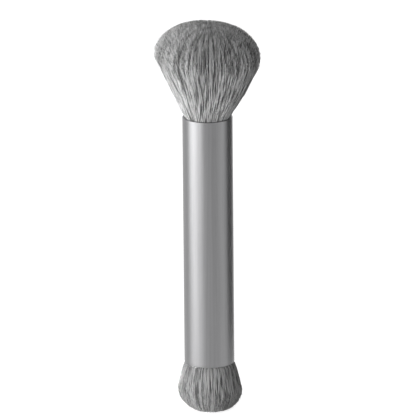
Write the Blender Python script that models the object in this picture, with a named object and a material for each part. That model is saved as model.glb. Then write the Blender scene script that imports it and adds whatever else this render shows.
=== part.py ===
"""Double-ended makeup brush: one straight aluminium tube with a large powder head above and a small dense
buffing head below. Lengths are in metres. +Z runs up the tube, and the origin is the middle of the small
flat at the bottom of the buffing head, on which the brush stands.

Inside the tube a wooden dowel carries two crimped ferrules. Each ferrule holds a plug of cured resin, and
on it the tied and resin-soaked root of a tuft, from which the fibres fan out through the tube's mouth."""

import math

import bmesh
import bpy

# Handle tube: drawn aluminium, open at both ends, with a crisp upper lip and a softer lower one.
TUBE_LENGTH = 0.1015
TUBE_DIAMETER = 0.0200
TUBE_WALL = 0.0008
UPPER_LIP_RADIUS = 0.0002
LOWER_LIP_RADIUS = 0.0005
INNER_EDGE_BREAK = 0.0001
LIP_FLAT = 0.0001

# Powder head: heights run up from the tube's upper mouth.
POWDER_DIAMETER = 0.0412
POWDER_WIDEST_HEIGHT = 0.0236
POWDER_CAP_HEIGHT = 0.0145
POWDER_SHORT_LOCK_TRIM = 0.0012
POWDER_DOME_POWER = 2.4
POWDER_BOW_SHARE = 0.0
POWDER_RINGS = 9

# Buffing head: heights run down from the tube's lower mouth.
BUFFING_DIAMETER = 0.0252
BUFFING_WIDEST_HEIGHT = 0.0110
BUFFING_CAP_HEIGHT = 0.0090
BUFFING_SHORT_LOCK_TRIM = 0.0006
BUFFING_DOME_POWER = 2.1
BUFFING_BOW_SHARE = 0.38
BUFFING_RINGS = 7
STANDING_FLAT_DEPTH = 0.0005

# Fibre locks: three-sided strands, each a pinch of fibres that keep together, six more in every ring.
LOCK_RADIUS_SHARE = 0.45
LOCK_POINT_LENGTH = 0.0010
LOCKS_PER_RING = 6
RING_STAGGER_DEGREES = 137.5
CURVED_OUTER_RINGS = 3

# Tuft root: the ends of the fibres soaked in resin, with a waist where the tie draws them in.
RESIN_SKIN = 0.0002
ROOT_SINK = 0.0010
COLLAR_LENGTH = 0.0025
WAIST_LENGTH = 0.0028
WAIST_DEPTH = 0.0007

# Tie: waxed thread wound round the waist before the resin is poured.
TIE_TURNS = 3
TIE_THICKNESS = 0.0005

# Root plug: the resin poured behind the root.
PLUG_LENGTH = 0.0035
PLUG_EDGE_ROUND = 0.0004

# Ferrule: a short drawn aluminium sleeve, crimped into two grooves of the dowel.
FERRULE_LENGTH = 0.0270
FERRULE_WALL = 0.0004
CRIMP_DEPTH = 0.0004
CRIMP_WIDTH = 0.0022
CRIMP_PITCH = 0.0060

# Core dowel: turned hardwood, with a spigot at each end for a ferrule.
SPIGOT_CHAMFER = 0.0008
GROOVE_MARGIN = 0.0003

# Room for glue round what slides in, and the play left where one piece is seated on another.
GLUE_GAP = 0.00015
SEAT_GAP = 0.0003

# How finely round shapes are drawn.
TUBE_STEPS = 64
HIDDEN_STEPS = 32
CORNER_STEPS = 3
CRIMP_STEPS = 4
SOLVER_STEPS = 40
MERGE_DISTANCE = 0.00000005

TUBE_RADIUS = TUBE_DIAMETER / 2
BORE_RADIUS = TUBE_RADIUS - TUBE_WALL
FERRULE_RADIUS = BORE_RADIUS - GLUE_GAP
FERRULE_BORE_RADIUS = FERRULE_RADIUS - FERRULE_WALL
ROOT_RADIUS = FERRULE_BORE_RADIUS - GLUE_GAP
WAIST_RADIUS = ROOT_RADIUS - WAIST_DEPTH
BUNDLE_RADIUS = ROOT_RADIUS - RESIN_SKIN
MOUTH_BUNDLE_RADIUS = BORE_RADIUS - GLUE_GAP
LOWER_MOUTH_Z = BUFFING_WIDEST_HEIGHT + BUFFING_CAP_HEIGHT - STANDING_FLAT_DEPTH
UPPER_MOUTH_Z = LOWER_MOUTH_Z + TUBE_LENGTH

COLOURS = {
    "anodised_aluminium": ((0.42, 0.42, 0.43), 0.34, 1.0),
    "bare_aluminium": ((0.60, 0.60, 0.61), 0.38, 1.0),
    "grey_fibre": ((0.30, 0.30, 0.30), 0.62, 0.0),
    "cured_resin": ((0.55, 0.48, 0.34), 0.25, 0.0),
    "waxed_thread": ((0.70, 0.67, 0.60), 0.70, 0.0),
    "turned_birch": ((0.62, 0.47, 0.30), 0.60, 0.0),
}


class Head:
    """One brush head and the pieces that hold it. Heights run outwards from the plane of the tube's mouth."""

    def __init__(self, name, diameter, widest, cap, short_lock_trim, dome_power, bow_share, rings):
        self.name = name
        self.radius = diameter / 2
        self.widest = widest
        self.cap = cap
        self.short_lock_trim = short_lock_trim
        self.dome_power = dome_power
        self.bow_share = bow_share
        self.rings = rings

        # The ferrule ends far enough inside the tube for the fanning fibres just to clear the tube's lip.
        flare = (self.radius - MOUTH_BUNDLE_RADIUS) * (1 + bow_share) / widest
        self.ferrule_end = -(MOUTH_BUNDLE_RADIUS - BUNDLE_RADIUS) / flare
        self.collar_end = self.ferrule_end - COLLAR_LENGTH
        self.root_end = self.collar_end - WAIST_LENGTH
        self.plug_top = self.root_end - SEAT_GAP
        self.plug_bottom = self.plug_top - PLUG_LENGTH
        self.spigot_top = self.plug_bottom - SEAT_GAP
        self.ferrule_base = self.ferrule_end - FERRULE_LENGTH
        self.shoulder = self.ferrule_base - SEAT_GAP
        crimps_middle = (self.spigot_top + self.ferrule_base) / 2
        self.crimps = [crimps_middle - CRIMP_PITCH / 2, crimps_middle + CRIMP_PITCH / 2]

    def bundle_radius(self, height):
        """The radius that the whole bundle would have at this height, if none of its fibres had ended."""
        share = height / self.widest
        grown_share = (1 + self.bow_share) * share - self.bow_share * share**2
        return MOUTH_BUNDLE_RADIUS + (self.radius - MOUTH_BUNDLE_RADIUS) * grown_share

    def dome_radius(self, height):
        """The radius of the trimmed dome, between the widest place and the top."""
        share = (height - self.widest) / self.cap
        return self.radius * max(0.0, 1 - share**self.dome_power) ** (1 / self.dome_power)

    def trimmed_height(self, share):
        """Where a fibre that lies this share of the bundle's radius from the axis meets the dome."""
        low = self.widest
        high = self.widest + self.cap
        for _ in range(SOLVER_STEPS):
            middle = (low + high) / 2
            if share * self.bundle_radius(middle) < self.dome_radius(middle):
                low = middle
            else:
                high = middle
        return low


def material(name):
    colour, roughness, metallic = COLOURS[name]
    made = bpy.data.materials.new(name)
    made.use_nodes = True
    shader = made.node_tree.nodes["Principled BSDF"]
    shader.inputs["Base Color"].default_value = (*colour, 1.0)
    shader.inputs["Roughness"].default_value = roughness
    shader.inputs["Metallic"].default_value = metallic
    return made


def finished(bm, name, finish, parent):
    """Writes a bmesh to a named object under its empty, with its faces outwards and its rounds smooth."""
    bmesh.ops.recalc_face_normals(bm, faces=bm.faces)
    mesh = bpy.data.meshes.new(name)
    bm.to_mesh(mesh)
    bm.free()
    mesh.shade_smooth()
    mesh.set_sharp_from_angle(angle=math.radians(35))
    mesh.materials.append(finish)
    made = bpy.data.objects.new(name, mesh)
    bpy.context.scene.collection.objects.link(made)
    made.parent = parent
    return made


def turned(profile, steps, closed):
    """Spins a profile of (radius, height) points about Z. An open one starts and ends on the axis."""
    bm = bmesh.new()
    points = [bm.verts.new((radius, 0, height)) for radius, height in profile]
    edges = [bm.edges.new(pair) for pair in zip(points, points[1:])]
    if closed:
        edges.append(bm.edges.new((points[-1], points[0])))
    about = {"axis": (0, 0, 1), "cent": (0, 0, 0), "angle": math.tau, "steps": steps}
    bmesh.ops.spin(bm, geom=points + edges, use_merge=True, **about)
    bmesh.ops.remove_doubles(bm, verts=bm.verts, dist=MERGE_DISTANCE)
    return bm


def corner(radius, height, fillet, start_degrees):
    """A quarter-round of a profile about (radius, height), from the start angle on, anticlockwise."""
    points = []
    for step in range(CORNER_STEPS + 1):
        angle = math.radians(start_degrees + 90 * step / CORNER_STEPS)
        points.append((radius + fillet * math.cos(angle), height + fillet * math.sin(angle)))
    return points


def crimp(radius, middle, depth, width):
    """One ring pressed into a wall: a raised cosine, from its lower edge to its upper one."""
    points = []
    for step in range(CRIMP_STEPS + 1):
        along = step / CRIMP_STEPS - 1 / 2
        dip = depth * (1 + math.cos(math.tau * along)) / 2
        points.append((radius - dip, middle + width * along))
    return points


def make_tube(finish, parent):
    """The handle tube. Its lips are rounded only as far as the wall leaves room for."""
    room = TUBE_WALL - INNER_EDGE_BREAK - LIP_FLAT
    lower = min(LOWER_LIP_RADIUS, room)
    upper = min(UPPER_LIP_RADIUS, room)
    profile = corner(TUBE_RADIUS - lower, lower, lower, -90)
    profile += corner(TUBE_RADIUS - upper, TUBE_LENGTH - upper, upper, 0)
    profile += [
        (BORE_RADIUS + INNER_EDGE_BREAK, TUBE_LENGTH),
        (BORE_RADIUS, TUBE_LENGTH - INNER_EDGE_BREAK),
        (BORE_RADIUS, INNER_EDGE_BREAK),
        (BORE_RADIUS + INNER_EDGE_BREAK, 0),
    ]
    return finished(turned(profile, TUBE_STEPS, closed=True), "handle_tube", finish, parent)


def spigot_profile(head):
    """The outline of one end of the dowel, from the middle of its end face to the shoulder's rim."""
    profile = [(FERRULE_RADIUS, head.shoulder), (ROOT_RADIUS, head.shoulder)]
    for middle in head.crimps:
        width = CRIMP_WIDTH + 2 * GROOVE_MARGIN
        profile += crimp(ROOT_RADIUS, middle, CRIMP_DEPTH + GROOVE_MARGIN, width)
    profile.append((ROOT_RADIUS, head.spigot_top - SPIGOT_CHAMFER))
    profile.append((ROOT_RADIUS - SPIGOT_CHAMFER, head.spigot_top))
    profile.append((0, head.spigot_top))
    return profile[::-1]


def make_dowel(upper, lower, finish, parent):
    """The core dowel, with its heights counted up from the tube's lower mouth."""
    profile = [(radius, -height) for radius, height in spigot_profile(lower)]
    profile += [(radius, TUBE_LENGTH + height) for radius, height in reversed(spigot_profile(upper))]
    return finished(turned(profile, HIDDEN_STEPS, closed=False), "core_dowel", finish, parent)


def make_ferrule(head, finish, parent):
    """The thin sleeve, with two crimps that lock it to the spigot of the dowel."""
    profile = []
    for radius, way in ((FERRULE_RADIUS, 1), (FERRULE_BORE_RADIUS, -1)):
        wall = [(radius, head.ferrule_base)]
        for middle in head.crimps:
            wall += crimp(radius, middle, CRIMP_DEPTH, CRIMP_WIDTH)
        wall.append((radius, head.ferrule_end))
        profile += wall[::way]
    bm = turned(profile, HIDDEN_STEPS, closed=True)
    return finished(bm, head.name + "_ferrule", finish, parent)


def make_plug(head, finish, parent):
    """The resin behind the root: a disc with softly rounded edges."""
    shoulder = ROOT_RADIUS - PLUG_EDGE_ROUND
    profile = [(0, head.plug_bottom)]
    profile += corner(shoulder, head.plug_bottom + PLUG_EDGE_ROUND, PLUG_EDGE_ROUND, -90)
    profile += corner(shoulder, head.plug_top - PLUG_EDGE_ROUND, PLUG_EDGE_ROUND, 0)
    profile.append((0, head.plug_top))
    bm = turned(profile, HIDDEN_STEPS, closed=False)
    return finished(bm, head.name + "_root_plug", finish, parent)


def make_tie(head, finish, parent):
    """The turns of thread, laid side by side as one band with a ridge for each turn."""
    inside = WAIST_RADIUS + GLUE_GAP
    valley = inside + TIE_THICKNESS / 2
    crest = inside + TIE_THICKNESS
    start = head.root_end + SEAT_GAP
    pitch = (WAIST_LENGTH - 2 * SEAT_GAP) / TIE_TURNS
    profile = [(inside, start), (valley, start)]
    for turn in range(TIE_TURNS):
        profile.append((crest, start + pitch * (turn + 1 / 3)))
        profile.append((crest, start + pitch * (turn + 2 / 3)))
        profile.append((valley, start + pitch * (turn + 1)))
    profile.append((inside, start + pitch * TIE_TURNS))
    return finished(turned(profile, HIDDEN_STEPS, closed=True), head.name + "_tie", finish, parent)


def root_slice(head):
    """The resin-soaked root of the tuft: a collar for the fibres, and the waist that the tie sits on."""
    profile = [
        (0, head.root_end),
        (WAIST_RADIUS, head.root_end),
        (WAIST_RADIUS, head.collar_end),
        (ROOT_RADIUS, head.collar_end),
        (ROOT_RADIUS, head.ferrule_end),
        (0, head.ferrule_end),
    ]
    return turned(profile, HIDDEN_STEPS, closed=False)


def lock_sections(head, ring, trim):
    """(height, distance from the axis, reach of the corners) of each section of a lock, its tip last."""
    bundle_share = 1 / (head.rings + LOCK_RADIUS_SHARE)
    tip = head.trimmed_height(ring * bundle_share) - trim
    outer_corner = head.trimmed_height((ring + LOCK_RADIUS_SHARE) * bundle_share)
    belly = min(outer_corner, tip - LOCK_POINT_LENGTH)
    heights = [head.ferrule_end - ROOT_SINK, belly, tip]
    if head.bow_share and ring > head.rings - CURVED_OUTER_RINGS:
        heights.insert(1, belly / 2)
    sections = []
    for height in heights:
        pitch = head.bundle_radius(height) * bundle_share
        sections.append((height, ring * pitch, LOCK_RADIUS_SHARE * pitch))
    return sections


def place_section(face, bearing, height, middle, reach):
    """Puts a face's corners round the section's middle, the first of them pointing away from the axis."""
    for index, loop in enumerate(face.loops):
        turn = bearing + math.tau * index / len(face.loops)
        loop.vert.co.x = middle * math.cos(bearing) + reach * math.cos(turn)
        loop.vert.co.y = middle * math.sin(bearing) + reach * math.sin(turn)
        loop.vert.co.z = height


def add_lock(bm, bearing, sections):
    """One lock: a triangle extruded through its sections, and then drawn out to its tip."""
    root, *bellies, tip = sections
    made = bmesh.ops.create_circle(bm, cap_ends=True, radius=LOCK_RADIUS_SHARE, segments=3)
    face = made["verts"][0].link_faces[0]
    place_section(face, bearing, *root)
    for section in bellies:
        below = face
        grown = bmesh.ops.extrude_face_region(bm, geom=[below])["geom"]
        face = next(item for item in grown if isinstance(item, bmesh.types.BMFace))
        place_section(face, bearing, *section)
        if section is not bellies[0]:
            bmesh.ops.delete(bm, geom=[below], context="FACES_ONLY")
    point = bmesh.ops.poke(bm, faces=[face])["verts"][0]
    height, middle, _ = tip
    point.co = (middle * math.cos(bearing), middle * math.sin(bearing), height)


def everything(bm):
    return bm.verts[:] + bm.edges[:] + bm.faces[:]


def add_ring(bm, head, ring):
    """A ring of long and short locks in turn. Each ring is turned so that no rows of gaps line up."""
    inner_rings = set(everything(bm))
    stagger = math.radians(RING_STAGGER_DEGREES * ring)
    trims = (0, head.short_lock_trim) if ring else (0,)
    repeats = max(1, LOCKS_PER_RING * ring // len(trims))
    for place, trim in enumerate(trims):
        bearing = stagger + math.tau * place / (repeats * len(trims))
        add_lock(bm, bearing, lock_sections(head, ring, trim))
    if repeats > 1:
        locks = [item for item in everything(bm) if item not in inner_rings]
        about = {"axis": (0, 0, 1), "cent": (0, 0, 0), "angle": math.tau * (repeats - 1) / repeats}
        bmesh.ops.spin(bm, geom=locks, steps=repeats - 1, use_duplicate=True, **about)


def cut_flat(bm, height):
    """Trims the locks at a plane, so that the head has a flat to stand on."""
    plane = {"plane_co": (0, 0, height), "plane_no": (0, 0, 1), "dist": MERGE_DISTANCE}
    cut = bmesh.ops.bisect_plane(bm, geom=everything(bm), clear_outer=True, **plane)
    edges = [item for item in cut["geom_cut"] if isinstance(item, bmesh.types.BMEdge)]
    bmesh.ops.holes_fill(bm, edges=edges)


def make_tuft(head, finish, parent, flat_height=None):
    """The tuft: rings of locks that fan out without crossing, grown into one with their root."""
    bm = bmesh.new()
    for ring in range(head.rings + 1):
        add_ring(bm, head, ring)
    if flat_height is not None:
        cut_flat(bm, flat_height)
    locks = finished(bm, head.name + "_locks", finish, parent)
    locks.hide_render = True
    locks.display_type = "WIRE"
    tuft = finished(root_slice(head), head.name + "_tuft", finish, parent)
    union = tuft.modifiers.new("locks", "BOOLEAN")
    union.operation = "UNION"
    union.solver = "EXACT"
    union.object = locks
    return tuft


def empty(name, height, tilt_degrees=0):
    """An empty on the tube's axis. Tilted by 180 degrees it points down, and so does what it carries."""
    made = bpy.data.objects.new(name, None)
    made.location = (0, 0, height)
    made.rotation_euler = (math.radians(tilt_degrees), 0, 0)
    bpy.context.scene.collection.objects.link(made)
    return made


def main():
    for old in list(bpy.data.objects):
        bpy.data.objects.remove(old)

    finishes = {name: material(name) for name in COLOURS}
    powder = Head(
        "powder",
        POWDER_DIAMETER,
        POWDER_WIDEST_HEIGHT,
        POWDER_CAP_HEIGHT,
        POWDER_SHORT_LOCK_TRIM,
        POWDER_DOME_POWER,
        POWDER_BOW_SHARE,
        POWDER_RINGS,
    )
    buffing = Head(
        "buffing",
        BUFFING_DIAMETER,
        BUFFING_WIDEST_HEIGHT,
        BUFFING_CAP_HEIGHT,
        BUFFING_SHORT_LOCK_TRIM,
        BUFFING_DOME_POWER,
        BUFFING_BOW_SHARE,
        BUFFING_RINGS,
    )

    handle = empty("handle", LOWER_MOUTH_Z)
    make_tube(finishes["anodised_aluminium"], handle)
    make_dowel(powder, buffing, finishes["turned_birch"], handle)

    powder_end = empty("powder_end", UPPER_MOUTH_Z)
    buffing_end = empty("buffing_end", LOWER_MOUTH_Z, tilt_degrees=180)
    for head, end in ((powder, powder_end), (buffing, buffing_end)):
        make_ferrule(head, finishes["bare_aluminium"], end)
        make_plug(head, finishes["cured_resin"], end)
        make_tie(head, finishes["waxed_thread"], end)
    make_tuft(powder, finishes["grey_fibre"], powder_end)
    make_tuft(buffing, finishes["grey_fibre"], buffing_end, LOWER_MOUTH_Z)


main()
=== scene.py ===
"""Double-ended duo fibre makeup brush: a satin-anodised aluminium tube, with a large powder head of grey
fibre above and a small dense buffing head below. Metres, +Z up the tube, standing on the lower tips."""

import math

import bmesh
import bpy
import numpy as np
from mathutils import Matrix, Vector


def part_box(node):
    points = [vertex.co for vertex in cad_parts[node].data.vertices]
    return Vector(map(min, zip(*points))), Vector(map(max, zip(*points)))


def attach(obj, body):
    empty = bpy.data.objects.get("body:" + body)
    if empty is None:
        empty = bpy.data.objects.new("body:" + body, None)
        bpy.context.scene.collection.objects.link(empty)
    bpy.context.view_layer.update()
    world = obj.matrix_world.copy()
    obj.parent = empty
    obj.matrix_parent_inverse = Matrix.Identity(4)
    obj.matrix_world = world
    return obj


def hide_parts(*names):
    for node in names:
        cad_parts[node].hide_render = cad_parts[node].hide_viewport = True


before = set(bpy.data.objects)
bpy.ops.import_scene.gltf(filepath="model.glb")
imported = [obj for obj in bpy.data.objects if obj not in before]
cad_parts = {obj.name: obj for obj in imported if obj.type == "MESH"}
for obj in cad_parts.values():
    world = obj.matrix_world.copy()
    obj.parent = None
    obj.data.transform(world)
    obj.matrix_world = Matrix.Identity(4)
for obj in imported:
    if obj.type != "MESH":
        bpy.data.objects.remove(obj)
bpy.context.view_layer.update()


# Tuft roots. The ends of each head's fibres are gathered, waisted for the tie and soaked in resin, which
# makes one hard stub of them. It sits inside the ferrule, and the fibres fan out of its end.
ROOT_RADIUS = 0.0085
WAIST_RADIUS = 0.0078
COLLAR_LENGTH = 0.0025
ROOT_EDGE_ROUND = 0.0002
ROOT_EDGE_STEPS = 4
ROOT_STEPS = 96
MERGE_DISTANCE = 1e-7
SHARP_ANGLE = math.radians(35)


def linear(code):
    """An sRGB hex colour as linear red, green, blue and alpha."""
    shares = [int(code[place : place + 2], 16) / 255 for place in (0, 2, 4)]
    return [s / 12.92 if s <= 0.04045 else ((s + 0.055) / 1.055) ** 2.4 for s in shares] + [1.0]


def add_node(tree, kind, settings, inputs):
    """Adds a node. Each input is a plain value, or the output socket that feeds it."""
    made = tree.nodes.new(kind)
    for name, value in settings.items():
        setattr(made, name, value)
    for name, value in inputs.items():
        if isinstance(value, bpy.types.NodeSocket):
            tree.links.new(value, made.inputs[name])
        else:
            made.inputs[name].default_value = value
    return made


def new_material(name):
    """A new material, its node tree and its shader."""
    made = bpy.data.materials.new(name)
    made.use_nodes = True
    return made, made.node_tree, made.node_tree.nodes["Principled BSDF"]


def turned(profile, steps, closed=False):
    """Spins a profile of (radius, height) points about Z. An open one starts and ends on the axis."""
    bm = bmesh.new()
    points = [bm.verts.new((radius, 0, height)) for radius, height in profile]
    edges = [bm.edges.new(pair) for pair in zip(points, points[1:])]
    if closed:
        edges.append(bm.edges.new((points[-1], points[0])))
    bmesh.ops.spin(
        bm,
        geom=points + edges,
        axis=(0, 0, 1),
        cent=(0, 0, 0),
        angle=math.tau,
        steps=steps,
        use_merge=True,
    )
    bmesh.ops.remove_doubles(bm, verts=bm.verts, dist=MERGE_DISTANCE)
    bmesh.ops.recalc_face_normals(bm, faces=bm.faces)
    return bm


def rounded(radius, height, fillet, start_degrees, steps):
    """A quarter-round of a profile about (radius, height), anticlockwise from the start angle."""
    turns = [math.radians(start_degrees + 90 * step / steps) for step in range(steps + 1)]
    return [(radius + fillet * math.cos(turn), height + fillet * math.sin(turn)) for turn in turns]


def as_object(bm, name, material):
    """Makes a bmesh an object of the scene."""
    mesh = bpy.data.meshes.new(name)
    bm.to_mesh(mesh)
    bm.free()
    mesh.materials.append(material)
    made = bpy.data.objects.new(name, mesh)
    bpy.context.scene.collection.objects.link(made)
    return made


def placed(bm, name, material, node):
    """Makes a bmesh a piece that stands for a node of the frame."""
    made = as_object(bm, name, material)
    made.data.shade_smooth()
    made.data.set_sharp_from_angle(angle=SHARP_ANGLE)
    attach(made, "root")
    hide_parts(node)


# Resin-bound fibre: grey threads 0.1 mm thick, set in amber resin and cut off square. They show as fine
# streaks along the stub, under a wet gloss.
bound, tree, shader = new_material("resin_bound_fibre")
place = add_node(tree, "ShaderNodeTexCoord", {}, {})
along = add_node(
    tree, "ShaderNodeMapping", {}, {"Vector": place.outputs["Object"], "Scale": (1.0, 1.0, 0.04)}
)
threads = add_node(
    tree, "ShaderNodeTexNoise", {}, {"Vector": along.outputs["Vector"], "Scale": 5000.0, "Detail": 2.0}
)
spread = add_node(
    tree, "ShaderNodeMapRange", {}, {"Value": threads.outputs["Fac"], "From Min": 0.35, "From Max": 0.65}
)
colour = add_node(tree, "ShaderNodeMix", {"data_type": "RGBA"}, {"Factor": spread.outputs["Result"]})
colour.inputs["A"].default_value = linear("7A7264")
colour.inputs["B"].default_value = linear("A8A294")
tree.links.new(colour.outputs["Result"], shader.inputs["Base Color"])
bump = add_node(
    tree, "ShaderNodeBump", {}, {"Height": threads.outputs["Fac"], "Strength": 0.4, "Distance": 0.00005}
)
tree.links.new(bump.outputs["Normal"], shader.inputs["Normal"])
shader.inputs["Roughness"].default_value = 0.28
shader.inputs["IOR"].default_value = 1.54

for head, way in (("powder", 1), ("buffing", -1)):
    tuft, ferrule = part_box(f"{head}_tuft"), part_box(f"{head}_ferrule")
    inner = tuft[0][2] if way > 0 else tuft[1][2]
    outer = ferrule[1][2] if way > 0 else ferrule[0][2]
    collar = outer - way * COLLAR_LENGTH
    waist_length, root_length = abs(collar - inner), abs(outer - inner)
    profile = [(0, 0), (WAIST_RADIUS, 0), (WAIST_RADIUS, waist_length), (ROOT_RADIUS, waist_length)]
    profile += rounded(
        ROOT_RADIUS - ROOT_EDGE_ROUND, root_length - ROOT_EDGE_ROUND, ROOT_EDGE_ROUND, 0, ROOT_EDGE_STEPS
    )
    profile.append((0, root_length))
    bm = turned([(radius, inner + way * height) for radius, height in profile], ROOT_STEPS)
    placed(bm, f"{head}_tuft_root", bound, f"{head}_tuft")


# Fibre heads. Crimped synthetic fibre of two lengths, fanned out through the tube's mouths and cut to a soft
# dome. The fibres cling together in fine locks, which split as they fan out and so keep about one width.
LOWER_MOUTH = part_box("handle_tube")[0][2]
UPPER_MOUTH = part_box("handle_tube")[1][2]
MOUTH_BUNDLE_RADIUS = 0.00905
SWELL_BY = 0.0008
WIDEST_RADIUS = 0.0209
DOME_STEPS = 40

# A real fibre is 0.1 mm thick. These are 0.18 mm, so that 35,000 of them fill both heads. They stand in a
# spiral, a little off their even places. One in five is short, and each is drawn to a blunt point.
FIBRE_SIDES = 3
FIBRE_RADIUS = 0.00009
GIRTH_SPREAD = 0.12
TAPER_FROM = 0.75
TIP_GIRTH = 0.75
TIP_SHARE = 0.006
GOLDEN_ANGLE = math.radians(137.508)
SCATTER = 0.00008
LEAST_SHARE = 0.002
MOST_SHARE = 1.02
LEAST_OFFSET = 0.0004
SHORT_FIBRES = 0.2
FEATHER = 0.0002
FLY_BEND = 3

# The locks are noise, worked out afresh on each of these radii, with faint broad locks behind the fine ones.
# The edges say how suddenly one lock gives way to the next, across it both ways and along it.
LOCK_STEP = 1.5
LOCK_LEVELS = 6
LOCK_RADII = [WIDEST_RADIUS / LOCK_STEP**level for level in reversed(range(LOCK_LEVELS))]
LOCK_SIZES = ((1.0, 1.0), (2.4, 0.08))
LOCK_EDGES = (2.5, 2.5, 1.5)
LOCK_DEPTH = 0.16
LOCK_SLANT = (0.4, -0.3)
LOCK_SWAY = 0.00012
LATTICE = 48

# Sunk locks end below the dome, less so in its heart. Tones are natural logarithms of how much paler a lock
# or a fibre is, and the darkest is the least that is left of the fibre's colour.
HEART_SUNK = 0.25
SUNK_FROM = 0.35
SUNK_OVER = 0.4
LOCK_CRISPNESS = 2.5
# Painted shade: how much paler proud locks are made than sunk ones.
PROUD_PAINTED_SHADE = 0.8
FIBRE_TONE = 0.10
DARKEST = 0.15


def smoothstep(value):
    value = np.clip(value, 0, 1)
    return value * value * (3 - 2 * value)


class Head:
    """The shape of one head. Heights run outwards from the plane of the tube's mouth, and way is +1 or -1.
    The fibres start at the height root, swell out past the lip and spread to their full radius at the height
    widest, along a side that bow makes fuller. A dome as high as cap closes the head. With a power of 2 its
    outline is an ellipse, and a higher one makes it squarer."""

    def __init__(self, mouth, way, root, swell, radius, widest, cap, power, bow):
        self.mouth = mouth
        self.way = way
        self.root = root
        self.swell = swell
        self.radius = radius
        self.widest = widest
        self.cap = cap
        self.power = power
        self.bow = bow

    def bundle_radius(self, height):
        """The radius that the bundle would have at this height if no fibre had ended."""
        share = height / self.widest
        freed = MOUTH_BUNDLE_RADIUS + self.swell * smoothstep(height / SWELL_BY)
        return freed + (self.radius - freed) * ((1 + self.bow) * share - self.bow * share**2)

    def dome_radius(self, height):
        share = np.clip((height - self.widest) / self.cap, 0, 1)
        return self.radius * (1 - share**self.power) ** (1 / self.power)

    def cut_height(self, share):
        """Where a fibre at this share of the bundle's radius meets the dome, found by halving."""
        low = np.full_like(share, self.widest)
        high = np.full_like(share, self.widest + self.cap)
        for _ in range(DOME_STEPS):
            middle = (low + high) / 2
            inside = share * self.bundle_radius(middle) < self.dome_radius(middle)
            low = np.where(inside, middle, low)
            high = np.where(inside, high, middle)
        return low


def fibre_mesh(name, count, rings):
    """One straight fibre of unit length and unit radius, drawn to a point, repeated count times in place."""
    bm = bmesh.new()
    circle = bmesh.ops.create_circle(bm, cap_ends=True, radius=1, segments=FIBRE_SIDES)["verts"]
    face = circle[0].link_faces[0]
    for ring in range(1, rings):
        below = face
        grown = bmesh.ops.extrude_face_region(bm, geom=[below])["geom"]
        face = next(item for item in grown if isinstance(item, bmesh.types.BMFace))
        for corner in face.verts:
            corner.co.z = ring / rings
        if ring > 1:
            bmesh.ops.delete(bm, geom=[below], context="FACES_ONLY")
    tip = bmesh.ops.poke(bm, faces=[face])["verts"][0]
    tip.co.z = 1
    bmesh.ops.recalc_face_normals(bm, faces=bm.faces)
    single = bpy.data.meshes.new(name)
    bm.to_mesh(single)
    bm.free()
    maker = bpy.data.objects.new(name, single)
    bpy.context.scene.collection.objects.link(maker)
    row = maker.modifiers.new("row", "ARRAY")
    row.count = count
    row.use_relative_offset = False
    bpy.context.view_layer.update()
    many = bpy.data.meshes.new_from_object(maker.evaluated_get(bpy.context.evaluated_depsgraph_get()))
    bpy.data.objects.remove(maker)
    bpy.data.meshes.remove(single)
    many.name = name
    return many


def drift(lattice, spots):
    """Noise from -1 to 1 at each spot, from a block of random numbers that repeats every way. It keeps level
    inside a lock and changes quickly at the lock's edge, but slowly along it."""
    whole = np.floor(spots).astype(int)
    part = smoothstep(0.5 + np.array(LOCK_EDGES) * (spots - whole - 0.5))
    total = 0
    for corner in np.ndindex(2, 2, 2):
        near = np.where(corner, part, 1 - part).prod(axis=-1)
        at = (whole + corner) % LATTICE
        total = total + near * lattice[at[..., 0], at[..., 1], at[..., 2]]
    return total


def lock_drift(lattices, cos, sin, share, height, grown, look):
    """What the locks do to each point of each fibre. Further out they split, and so keep about one width."""
    cos, sin, share, height, grown = np.broadcast_arrays(cos, sin, share, height, grown)
    out = np.clip(share * grown, LOCK_RADII[0], LOCK_RADII[-1])
    total = np.zeros(out.shape)
    for radius, lattice in zip(LOCK_RADII, lattices):
        weight = np.clip(1 - np.abs(np.log(out / radius)) / math.log(LOCK_STEP), 0, 1)
        near = weight > 0
        for times, strength in LOCK_SIZES:
            across = cos[near] * radius / (look["lock_width"] * times)
            over = sin[near] * radius / (look["lock_width"] * times)
            along = height[near] / look["lock_run"] + share[near] / LOCK_DEPTH
            along = along / times + LOCK_SLANT[0] * across + LOCK_SLANT[1] * over
            noise = drift(lattice, np.stack([across, over, along], axis=-1))
            total[near] += weight[near] * strength * noise
    return total


def lay_piece(name, head, finish, node, rings, laid):
    """Bends straight fibres along their paths and makes one piece of them. Each table that laid holds has a
    row for each fibre and a column for each ring of it."""
    count = len(laid["path"])
    mesh = fibre_mesh(name, count, rings)
    unit = np.zeros(len(mesh.vertices) * 3)
    mesh.vertices.foreach_get("co", unit)
    unit = unit.reshape(count, -1, 3)
    ring = np.rint(unit[0, :, 2] * rings).astype(int)
    turn = unit[:, :, 0, None] * laid["outward"][:, ring] + unit[:, :, 1, None] * laid["side"][:, ring]
    made = laid["path"][:, ring] + laid["girth"][:, ring, None] * turn
    made[:, :, 2] = head.mouth + head.way * made[:, :, 2]
    if head.way < 0:
        # Mirrored twice, the faces still point outwards. No tip goes below the ground.
        made[:, :, 1] *= -1
        made[:, :, 2] = np.maximum(made[:, :, 2], 0)
    mesh.vertices.foreach_set("co", made.astype(np.float32).ravel())
    for label in ("tone", "paling_and_shade"):
        marks = mesh.attributes.new(label, "FLOAT", "POINT")
        marks.data.foreach_set("value", laid[label][:, ring].astype(np.float32).ravel())
    mesh.shade_smooth()
    mesh.materials.append(finish)
    made_piece = bpy.data.objects.new(mesh.name, mesh)
    bpy.context.scene.collection.objects.link(made_piece)
    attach(made_piece, "root")
    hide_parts(node)


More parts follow.
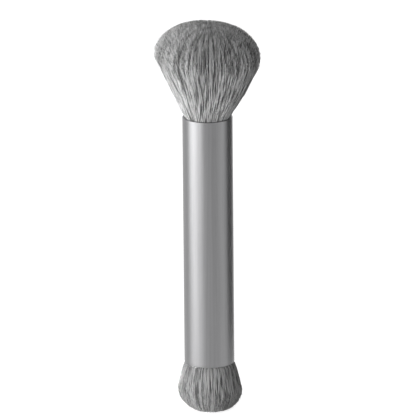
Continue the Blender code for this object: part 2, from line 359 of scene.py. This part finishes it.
def lay_head(name, head, finish, node, look):
    """Lays all the fibres of a head, layer by layer from the heart to the skin."""
    chance = np.random.default_rng(look["seed"])
    lattices = chance.uniform(-1, 1, (4, len(LOCK_RADII), LATTICE, LATTICE, LATTICE))
    # Each number loses the mean of its neighbours across the lock, which leaves streaks and no blotches.
    beside = [np.roll(lattices, step, axis) for step in (-1, 1) for axis in (2, 3)]
    proud_noise, sway_noise, tone_noise, sunk_noise = lattices - sum(beside) / len(beside)
    for layer, inner, outer, pieces, fibres_each, rings in look["layers"]:
        # Where each fibre stands: spread evenly over the layer, like the seeds in a sunflower head.
        count = pieces * fibres_each
        order = np.arange(count)
        share = np.sqrt(inner**2 + (outer**2 - inner**2) * (order + 0.5) / count)
        share = np.clip(share + chance.normal(0, SCATTER / head.radius, count), LEAST_SHARE, MOST_SHARE)
        bearing = order * GOLDEN_ANGLE
        bearing += chance.normal(0, SCATTER, count) / np.maximum(share * head.radius, LEAST_OFFSET)
        cos, sin, far = np.cos(bearing)[:, None], np.sin(bearing)[:, None], share[:, None]

        # Where it ends: on the dome, or below it where its lock is sunk or it is one of the short ones.
        reach = head.cut_height(share)
        sunk = np.maximum(0, lock_drift(sunk_noise, cos, sin, far, 0.0, head.radius, look))
        sunk = sunk * (HEART_SUNK + (1 - HEART_SUNK) * smoothstep((far - SUNK_FROM) / SUNK_OVER))
        tip = reach - look["uneven"] * sunk[:, 0] - np.abs(chance.normal(0, FEATHER, count))
        tip -= look["tilt"] * share * head.radius * np.cos(bearing)
        short = chance.random(count) < SHORT_FIBRES
        tip = np.where(short, tip * chance.uniform(look["short_from"], 1.0, count), tip)

        # Its way there, ring by ring: it goes out and sideways with its lock, and a few fly loose.
        stations = np.append(np.linspace(0, 1 - TIP_SHARE, rings), 1.0)
        height = head.root + (tip[:, None] - head.root) * stations
        grown = head.bundle_radius(height)
        noises = (proud_noise, sway_noise, tone_noise)
        proud, sway, own_tone = (lock_drift(noise, cos, sin, far, height, grown, look) for noise in noises)
        loose = smoothstep(height / look["loose_by"])
        fuzz = chance.normal(0, look["fuzz"], (2, count, rings + 1))
        fly = np.where(chance.random(count) < look["flyaways"], look["fly_reach"], 0)[:, None]
        fly = fly * chance.normal(0, 1, (2, count, 1)) * stations**FLY_BEND
        radial = far * grown + loose * (look["proud"] * proud + fuzz[0] + fly[0])
        around = loose * (LOCK_SWAY * sway + fuzz[1] + fly[1])
        lean = look["lean"] * smoothstep(height / look["lean_by"])
        path = np.stack([radial * cos - around * sin + lean, radial * sin + around * cos, height], axis=2)

        # The two directions across it, and its thickness: thinner where it is packed and at its tip.
        ahead = np.gradient(path, axis=1)
        ahead /= np.linalg.norm(ahead, axis=2, keepdims=True)
        side = np.stack(np.broadcast_arrays(-sin, cos, 0 * radial), axis=2)
        side -= ahead * (side * ahead).sum(axis=2, keepdims=True)
        side /= np.linalg.norm(side, axis=2, keepdims=True)
        outward = np.cross(side, ahead)
        girth = FIBRE_RADIUS * np.exp(chance.normal(0, GIRTH_SPREAD, count))[:, None]
        girth = girth * (look["root_girth"] + (1 - look["root_girth"]) * smoothstep(height / head.widest))
        girth = girth * np.interp(stations, [0, TAPER_FROM, 1.0], [1.0, 1.0, TIP_GIRTH])

        # Its tone: pale and dark locks, with painted shade that makes sunk locks darker than proud ones and
        # darker still further out, and all calmer on the dome.
        calm = 1 - look["calm"] * smoothstep((height - look["calm_from"]) / look["calm_over"])
        tone = look["lock_tone"] * calm * np.tanh(LOCK_CRISPNESS * (own_tone + PROUD_PAINTED_SHADE * proud))
        tone = tone - look["sunk_painted_shade"] * calm * sunk * smoothstep(2 * height / head.widest - 1)
        tone = np.exp(tone + chance.normal(0, FIBRE_TONE, count)[:, None])
        tone = np.clip(tone, DARKEST, look["palest"])
        # Paler at the root and darker towards the tips: partly the fibre's own colour, partly painted shade.
        outwards = smoothstep(height / (head.widest + head.cap))
        paling_and_shade = look["root_paling_and_shade"] + (look["tip_paling_and_shade"] - look["root_paling_and_shade"]) * outwards

        laid = {
            "path": path,
            "outward": outward,
            "side": side,
            "girth": girth,
            "tone": tone,
            "paling_and_shade": paling_and_shade,
        }
        for piece in range(pieces):
            mine = slice(piece * fibres_each, (piece + 1) * fibres_each)
            its_own = {label: table[mine] for label, table in laid.items()}
            lay_piece(f"{name}_{layer}_{piece + 1}", head, finish, node, rings, its_own)


# Grey polyester fibre, extruded and crimped: a satin thread, paler where the fibres lie packed at the root
# and darker at the open tips, partly the fibre's own colour and partly painted shade between the open tips.
# Proud locks are painted paler than sunk ones, a painted shade that streaks the head.
fibre, tree, shader = new_material("grey_polyester_fibre")
tone = add_node(tree, "ShaderNodeAttribute", {"attribute_name": "tone"}, {})
paling_and_shade = add_node(tree, "ShaderNodeAttribute", {"attribute_name": "paling_and_shade"}, {})
colour = add_node(tree, "ShaderNodeMix", {"data_type": "RGBA"}, {"Factor": paling_and_shade.outputs["Fac"]})
colour.inputs["A"].default_value = linear("A6A6A6")
colour.inputs["B"].default_value = linear("D8D8D8")
shade = add_node(tree, "ShaderNodeVectorMath", {"operation": "SCALE"}, {"Scale": tone.outputs["Fac"]})
tree.links.new(colour.outputs["Result"], shade.inputs[0])
tree.links.new(shade.outputs["Vector"], shader.inputs["Base Color"])
shader.inputs["Roughness"].default_value = 0.5
shader.inputs["IOR"].default_value = 1.57

# Each layer has a name, an inner and an outer share of the radius, a number of pieces, the fibres in each
# piece, and the rings of each fibre. Lengths are in metres, and a tilt or a lean is towards +X.
powder = Head(
    mouth=UPPER_MOUTH,
    way=1,
    root=-0.0024,
    swell=0.0,
    radius=WIDEST_RADIUS,
    widest=0.0236,
    cap=0.0147,
    power=2.32,
    bow=0.06,
)
lay_head(
    "powder_fibres",
    powder,
    fibre,
    "powder_tuft",
    {
        "seed": 29,
        "layers": [("heart", 0.0, 0.85, 3, 4700, 6), ("skin", 0.85, 1.0, 6, 1530, 16)],
        "lock_width": 0.00032,
        "lock_run": 0.0045,
        "proud": 0.00045,
        "loose_by": 0.0060,
        "fuzz": 0.00005,
        "flyaways": 0.03,
        "fly_reach": 0.0005,
        "short_from": 0.45,
        "uneven": 0.0032,
        "tilt": 0.074,
        "lean": 0.0009,
        "lean_by": 0.0140,
        "root_girth": 0.5,
        "lock_tone": 1.6,
        "sunk_painted_shade": 0.35,
        "palest": 1.35,
        "root_paling_and_shade": 0.85,
        "tip_paling_and_shade": 0.55,
        "calm": 0.6,
        "calm_from": 0.0340,
        "calm_over": 0.0030,
    },
)
buffing = Head(
    mouth=LOWER_MOUTH,
    way=-1,
    root=-0.0020,
    swell=0.00095,
    radius=0.0128,
    widest=0.0112,
    cap=0.0098,
    power=2.05,
    bow=0.12,
)
lay_head(
    "buffing_fibres",
    buffing,
    fibre,
    "buffing_tuft",
    {
        "seed": 12,
        "layers": [("heart", 0.0, 0.8, 2, 3500, 6), ("skin", 0.8, 1.0, 2, 2300, 10)],
        "lock_width": 0.00036,
        "lock_run": 0.0040,
        "proud": 0.00035,
        "loose_by": 0.0040,
        "fuzz": 0.00004,
        "flyaways": 0.02,
        "fly_reach": 0.0004,
        "short_from": 0.6,
        "uneven": 0.0012,
        "tilt": -0.045,
        "lean": 0.0,
        "lean_by": 0.0100,
        "root_girth": 0.6,
        "lock_tone": 1.35,
        "sunk_painted_shade": 0.8,
        "palest": 1.30,
        "root_paling_and_shade": 0.1,
        "tip_paling_and_shade": 0.0,
        "calm": 0.65,
        "calm_from": 0.0145,
        "calm_over": 0.0045,
    },
)


# Ties. A waxed linen thread is wound three times round the waist of each root and drawn tight before the
# resin is poured, so that no fibre can pull out.
TIE_TURNS = 3
TIE_STEPS = 64
THREAD_RADIUS = 0.00025
THREAD_SIDES = 8

# Waxed linen thread: off-white, with the 0.3 mm slant of its plies, and the wax leaves a dull sheen on it.
linen, tree, shader = new_material("waxed_linen_thread")
place = add_node(tree, "ShaderNodeTexCoord", {}, {})
plies = add_node(
    tree,
    "ShaderNodeTexWave",
    {"bands_direction": "DIAGONAL"},
    {"Vector": place.outputs["Object"], "Scale": 1200.0, "Distortion": 2.0, "Detail": 2.0},
)
colour = add_node(tree, "ShaderNodeMix", {"data_type": "RGBA"}, {"Factor": plies.outputs["Fac"]})
colour.inputs["A"].default_value = linear("B5A88E")
colour.inputs["B"].default_value = linear("DCD2BE")
tree.links.new(colour.outputs["Result"], shader.inputs["Base Color"])
bump = add_node(
    tree, "ShaderNodeBump", {}, {"Height": plies.outputs["Fac"], "Strength": 0.6, "Distance": 0.00006}
)
tree.links.new(bump.outputs["Normal"], shader.inputs["Normal"])
shader.inputs["Roughness"].default_value = 0.6

for head in ("powder", "buffing"):
    low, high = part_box(f"{head}_tie")
    climb = (high[2] - low[2] - 2 * THREAD_RADIUS) / TIE_TURNS
    bm = bmesh.new()
    cut = bmesh.ops.create_circle(bm, cap_ends=True, radius=THREAD_RADIUS, segments=THREAD_SIDES)["verts"]
    bmesh.ops.rotate(bm, matrix=Matrix.Rotation(math.radians(90), 3, "X"), verts=cut)
    bmesh.ops.translate(bm, vec=(WAIST_RADIUS + THREAD_RADIUS, 0, low[2] + THREAD_RADIUS), verts=cut)
    bmesh.ops.spin(
        bm,
        geom=bm.faces[:],
        axis=(0, 0, 1),
        cent=(0, 0, 0),
        dvec=(0, 0, climb / TIE_STEPS),
        angle=math.tau * TIE_TURNS,
        steps=TIE_STEPS * TIE_TURNS,
        use_duplicate=False,
    )
    bmesh.ops.recalc_face_normals(bm, faces=bm.faces)
    placed(bm, f"{head}_thread_tie", linen, f"{head}_tie")


# Root plugs. Two-part resin is poured behind each root and cures to a hard disc that locks the fibres in.
# Cast epoxy: clear amber gone cloudy, with a poured gloss and 0.4 mm bubbles under its face.
epoxy, tree, shader = new_material("cast_epoxy_resin")
place = add_node(tree, "ShaderNodeTexCoord", {}, {})
clouds = add_node(
    tree, "ShaderNodeTexNoise", {}, {"Vector": place.outputs["Object"], "Scale": 350.0, "Detail": 3.0}
)
bubbles = add_node(tree, "ShaderNodeTexVoronoi", {}, {"Vector": place.outputs["Object"], "Scale": 2500.0})
rim = add_node(
    tree,
    "ShaderNodeMapRange",
    {},
    {"Value": bubbles.outputs["Distance"], "From Min": 0.05, "From Max": 0.25},
)
both = add_node(
    tree, "ShaderNodeMath", {"operation": "MULTIPLY"}, {0: clouds.outputs["Fac"], 1: rim.outputs["Result"]}
)
colour = add_node(tree, "ShaderNodeMix", {"data_type": "RGBA"}, {"Factor": both.outputs[0]})
colour.inputs["A"].default_value = linear("A88B50")
colour.inputs["B"].default_value = linear("CDB583")
tree.links.new(colour.outputs["Result"], shader.inputs["Base Color"])
shader.inputs["Roughness"].default_value = 0.15
shader.inputs["IOR"].default_value = 1.55


def finished(node, material):
    """Gives a node that keeps its CAD mesh its material."""
    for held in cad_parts[node].material_slots:
        held.material = material


finished("powder_root_plug", epoxy)
finished("buffing_root_plug", epoxy)


# Ferrules. Each is a short sleeve of drawn aluminium, pushed over the root and crimped twice into the
# dowel's grooves. Drawn aluminium, left bare: brighter than the anodised tube, with draw lines 0.1 mm apart.
drawn, tree, shader = new_material("bare_drawn_aluminium")
place = add_node(tree, "ShaderNodeTexCoord", {}, {})
along = add_node(
    tree, "ShaderNodeMapping", {}, {"Vector": place.outputs["Object"], "Scale": (1.0, 1.0, 0.01)}
)
lines = add_node(
    tree, "ShaderNodeTexNoise", {}, {"Vector": along.outputs["Vector"], "Scale": 10000.0, "Detail": 2.0}
)
colour = add_node(tree, "ShaderNodeMix", {"data_type": "RGBA"}, {"Factor": lines.outputs["Fac"]})
colour.inputs["A"].default_value = linear("BDBEC0")
colour.inputs["B"].default_value = linear("D4D5D7")
tree.links.new(colour.outputs["Result"], shader.inputs["Base Color"])
dull = add_node(
    tree, "ShaderNodeMapRange", {}, {"Value": lines.outputs["Fac"], "To Min": 0.28, "To Max": 0.42}
)
tree.links.new(dull.outputs["Result"], shader.inputs["Roughness"])
shader.inputs["Metallic"].default_value = 1.0
finished("powder_ferrule", drawn)
finished("buffing_ferrule", drawn)


# Core dowel. A turned birch rod fills the tube and carries a ferrule on the spigot at each end. Birch, left
# as it came off the lathe: pale, with growth rings 1.5 mm apart, pores as short dark flecks, and a dry face.
birch, tree, shader = new_material("turned_birch")
place = add_node(tree, "ShaderNodeTexCoord", {}, {})
along = add_node(
    tree, "ShaderNodeMapping", {}, {"Vector": place.outputs["Object"], "Scale": (1.0, 1.0, 0.06)}
)
rings = add_node(
    tree,
    "ShaderNodeTexWave",
    {"bands_direction": "X"},
    {"Vector": along.outputs["Vector"], "Scale": 210.0, "Distortion": 3.0, "Detail": 2.0},
)
flecks = add_node(
    tree, "ShaderNodeTexNoise", {}, {"Vector": along.outputs["Vector"], "Scale": 6000.0, "Detail": 1.0}
)
pores = add_node(
    tree, "ShaderNodeMapRange", {}, {"Value": flecks.outputs["Fac"], "From Min": 0.28, "From Max": 0.40}
)
colour = add_node(tree, "ShaderNodeMix", {"data_type": "RGBA"}, {"Factor": rings.outputs["Fac"]})
colour.inputs["A"].default_value = linear("C9A878")
colour.inputs["B"].default_value = linear("DCC297")
dark = add_node(tree, "ShaderNodeMix", {"data_type": "RGBA"}, {"Factor": pores.outputs["Result"]})
dark.inputs["A"].default_value = linear("9C7A50")
tree.links.new(colour.outputs["Result"], dark.inputs["B"])
tree.links.new(dark.outputs["Result"], shader.inputs["Base Color"])
bump = add_node(
    tree, "ShaderNodeBump", {}, {"Height": flecks.outputs["Fac"], "Strength": 0.2, "Distance": 0.00005}
)
tree.links.new(bump.outputs["Normal"], shader.inputs["Normal"])
shader.inputs["Roughness"].default_value = 0.62
finished("core_dowel", birch)


# Handle tube. Drawn aluminium, turned square at both ends, bead-blasted and anodised a plain mid-grey. The
# dowel with its ferrules is glued inside it. The upper lip is crisp, and the lower one is softly rounded.
TUBE_RADIUS = 0.0100
BORE_RADIUS = 0.0092
TUBE_STEPS = 192
LOWER_LIP_ROUND = 0.0005
LOWER_LIP_STEPS = 8
UPPER_LIP_ROUND = 0.0002
UPPER_LIP_STEPS = 6
INNER_LIP_ROUND = 0.0001
INNER_LIP_STEPS = 3

# Satin-anodised aluminium: a metal with a very fine blasted grain, so that it mirrors soft broad bands of
# light and no sharp shapes. The blasting is 0.12 mm pits, and the drawing left faint streaks along the tube.
aluminium, tree, shader = new_material("satin_anodised_aluminium")
place = add_node(tree, "ShaderNodeTexCoord", {}, {})
pits = add_node(
    tree, "ShaderNodeTexNoise", {}, {"Vector": place.outputs["Object"], "Scale": 8000.0, "Detail": 2.0}
)
along = add_node(
    tree, "ShaderNodeMapping", {}, {"Vector": place.outputs["Object"], "Scale": (1.0, 1.0, 0.02)}
)
streaks = add_node(
    tree, "ShaderNodeTexNoise", {}, {"Vector": along.outputs["Vector"], "Scale": 1400.0, "Detail": 3.0}
)
spread = add_node(
    tree, "ShaderNodeMapRange", {}, {"Value": streaks.outputs["Fac"], "From Min": 0.3, "From Max": 0.7}
)
colour = add_node(tree, "ShaderNodeMix", {"data_type": "RGBA"}, {"Factor": spread.outputs["Result"]})
colour.inputs["A"].default_value = linear("828283")
colour.inputs["B"].default_value = linear("888889")
grain = add_node(
    tree,
    "ShaderNodeMapRange",
    {},
    {"Value": pits.outputs["Fac"], "From Min": 0.3, "From Max": 0.7, "To Min": 0.40, "To Max": 0.44},
)
bump = add_node(
    tree, "ShaderNodeBump", {}, {"Height": pits.outputs["Fac"], "Strength": 0.03, "Distance": 0.00003}
)
turn = add_node(tree, "ShaderNodeTangent", {"direction_type": "RADIAL", "axis": "Z"}, {})
tree.links.new(colour.outputs["Result"], shader.inputs["Base Color"])
tree.links.new(grain.outputs["Result"], shader.inputs["Roughness"])
tree.links.new(bump.outputs["Normal"], shader.inputs["Normal"])
tree.links.new(turn.outputs["Tangent"], shader.inputs["Tangent"])
shader.inputs["Metallic"].default_value = 1.0
shader.inputs["Anisotropic"].default_value = 0.8
shader.inputs["Anisotropic Rotation"].default_value = 0.25

# The wall's outline, anticlockwise from the lower lip's outside: two outer rounds, then two inner ones.
wall = []
for radius, height, fillet, start_degrees, steps in (
    (TUBE_RADIUS - LOWER_LIP_ROUND, LOWER_MOUTH + LOWER_LIP_ROUND, LOWER_LIP_ROUND, -90, LOWER_LIP_STEPS),
    (TUBE_RADIUS - UPPER_LIP_ROUND, UPPER_MOUTH - UPPER_LIP_ROUND, UPPER_LIP_ROUND, 0, UPPER_LIP_STEPS),
    (BORE_RADIUS + INNER_LIP_ROUND, UPPER_MOUTH - INNER_LIP_ROUND, INNER_LIP_ROUND, 90, INNER_LIP_STEPS),
    (BORE_RADIUS + INNER_LIP_ROUND, LOWER_MOUTH + INNER_LIP_ROUND, INNER_LIP_ROUND, 180, INNER_LIP_STEPS),
):
    wall += rounded(radius, height, fillet, start_degrees, steps)
placed(turned(wall, TUBE_STEPS, closed=True), "tube", aluminium, "handle_tube")


# Studio. A white paper floor that runs out of the picture, a pale room, and soft boxes that light the brush
# mostly from the left. Seen straight or in a reflection, floor and room are plain white.
FLOOR_RADIUS = 6.0
FLOOR_STEPS = 96
FLOOR_GLOW = 0.93
ROOM_LIGHT = 0.20


def plainly_seen(tree):
    """1 for what is seen straight, in a reflection or through glass, and 0 for what lights a matte face."""
    sight = add_node(tree, "ShaderNodeLightPath", {}, {})
    seen = sight.outputs["Is Camera Ray"]
    for ray in ("Is Glossy Ray", "Is Transmission Ray"):
        either = add_node(
            tree, "ShaderNodeMath", {"operation": "MAXIMUM"}, {0: seen, 1: sight.outputs[ray]}
        )
        seen = either.outputs[0]
    return seen


paper, tree, shader = new_material("white_paper_floor")
shader.inputs["Base Color"].default_value = linear("8C8C8C")
shader.inputs["Roughness"].default_value = 0.9
glow = add_node(tree, "ShaderNodeMath", {"operation": "MULTIPLY"}, {0: plainly_seen(tree), 1: FLOOR_GLOW})
white = add_node(tree, "ShaderNodeEmission", {}, {"Color": (1, 1, 1, 1), "Strength": glow.outputs[0]})
mixed = add_node(tree, "ShaderNodeAddShader", {}, {0: shader.outputs[0], 1: white.outputs[0]})
tree.links.new(mixed.outputs[0], tree.nodes["Material Output"].inputs["Surface"])
bm = bmesh.new()
bmesh.ops.create_circle(bm, cap_ends=True, radius=FLOOR_RADIUS, segments=FLOOR_STEPS)
floor = as_object(bm, "floor", paper)

world = bpy.data.worlds.new("pale_room")
world.use_nodes = True
bpy.context.scene.world = world
tree = world.node_tree
level = add_node(
    tree, "ShaderNodeMapRange", {}, {"Value": plainly_seen(tree), "To Min": ROOM_LIGHT, "To Max": 1.0}
)
background = tree.nodes["Background"]
tree.links.new(level.outputs["Result"], background.inputs["Strength"])
background.inputs["Color"].default_value = (1, 1, 1, 1)


def soft_lamp(
    name, bearing, rise, distance, wide, high, watts, aim=0.08, beam=180, mirrored=True, matte=True
):
    """A rectangular soft box aimed at a height of the brush, in degrees and metres. A bearing of 0 is the
    camera's side. One that isn't mirrored shows in no reflection, such as the metal's streaks, and one that
    isn't for matte faces shows in reflections alone."""
    light = bpy.data.lights.new(name, "AREA")
    light.shape = "RECTANGLE"
    light.size = wide
    light.size_y = high
    light.energy = watts
    light.spread = math.radians(beam)
    made = bpy.data.objects.new(name, light)
    bearing, rise = math.radians(bearing), math.radians(rise)
    away = Vector((math.sin(bearing) * math.cos(rise), -math.cos(bearing) * math.cos(rise), math.sin(rise)))
    made.location = Vector((0, 0, aim)) + away * distance
    made.rotation_euler = away.to_track_quat("Z", "Y").to_euler()
    made.visible_glossy = mirrored
    made.visible_diffuse = matte
    bpy.context.scene.collection.objects.link(made)


# The left box lights the whole brush. The glint, the core and the right box draw the metal's bright bands.
# The low left and the front left one light the hair, and so do the one behind and the one above, which are
# mostly for the sides that the picture doesn't show.
soft_lamp("soft_box_left", bearing=-61, rise=13, distance=0.90, wide=1.32, high=0.75, watts=3.8)
soft_lamp(
    "soft_box_left_glint", bearing=-61, rise=18, distance=0.91, wide=1.32, high=0.75, watts=6.7, matte=False
)
soft_lamp(
    "soft_box_left_core", bearing=-67, rise=9, distance=0.88, wide=0.56, high=0.52, watts=3.5, matte=False
)
soft_lamp(
    "soft_box_low_left",
    bearing=-72,
    rise=0,
    distance=0.35,
    wide=0.30,
    high=0.028,
    watts=0.27,
    aim=0.014,
    beam=60,
    mirrored=False,
)
soft_lamp(
    "soft_box_front_left", bearing=-33, rise=2, distance=1.1, wide=0.70, high=0.35, watts=7.9, mirrored=False
)
soft_lamp("soft_box_right", bearing=68, rise=16, distance=1.2, wide=0.40, high=0.7, watts=0.9, matte=False)
soft_lamp(
    "soft_box_back", bearing=-155, rise=22, distance=1.1, wide=0.80, high=0.50, watts=4.0, mirrored=False
)
soft_lamp("soft_box_top", bearing=0, rise=88, distance=1.1, wide=0.60, high=0.60, watts=1.6, mirrored=False)


def card(name, code, wide, high, centre, tilt, bearing):
    """A card that the camera doesn't see: tilted up about X, moved to its centre and swung round the brush.
    It shows in reflections and in the soft light, and casts no shadow."""
    grey, _, shader = new_material(name)
    shader.inputs["Base Color"].default_value = linear(code)
    shader.inputs["Roughness"].default_value = 0.9
    lifted = Matrix.Translation(centre) @ Matrix.Rotation(math.radians(tilt), 4, "X")
    stand = Matrix.Rotation(math.radians(bearing), 4, "Z") @ lifted
    bm = bmesh.new()
    size = Matrix.Diagonal((wide, high, 1, 1))
    bmesh.ops.create_grid(bm, x_segments=1, y_segments=1, size=0.5, matrix=stand @ size)
    made = as_object(bm, name, grey)
    made.visible_camera = False
    made.visible_shadow = False


# A dark card stands close behind the brush on the right and draws the dark edge down the metal. A grey one
# lies on the table in front and draws the dull band right of its middle.
card("dark_card", "707070", wide=0.072, high=0.30, centre=(0, 0.08, 0.15), tilt=90, bearing=-65)
card("grey_card", "808080", wide=0.10, high=0.24, centre=(0, -0.37, 0.002), tilt=0, bearing=28)

# The camera is far off with a long lens, 16 degrees above the table, and sees 167 mm at the brush.
CAMERA_DISTANCE = 3.0
SENSOR_WIDTH = 36.0
VIEW_WIDTH = 0.1670
RISE = math.radians(16.0)
ROLL = math.radians(-0.474)
AIM = Vector((0.0007, 0, 0.0824))
lens = bpy.data.cameras.new("camera")
lens.sensor_width = SENSOR_WIDTH
lens.lens = lens.sensor_width * CAMERA_DISTANCE / VIEW_WIDTH
camera = bpy.data.objects.new("camera", lens)
camera.location = AIM + CAMERA_DISTANCE * Vector((0, -math.cos(RISE), math.sin(RISE)))
turn = Matrix.Rotation(math.radians(90) - RISE, 3, "X") @ Matrix.Rotation(ROLL, 3, "Z")
camera.rotation_euler = turn.to_euler()
bpy.context.scene.collection.objects.link(camera)
bpy.context.scene.camera = camera

bpy.context.scene.view_settings.view_transform = "Standard"
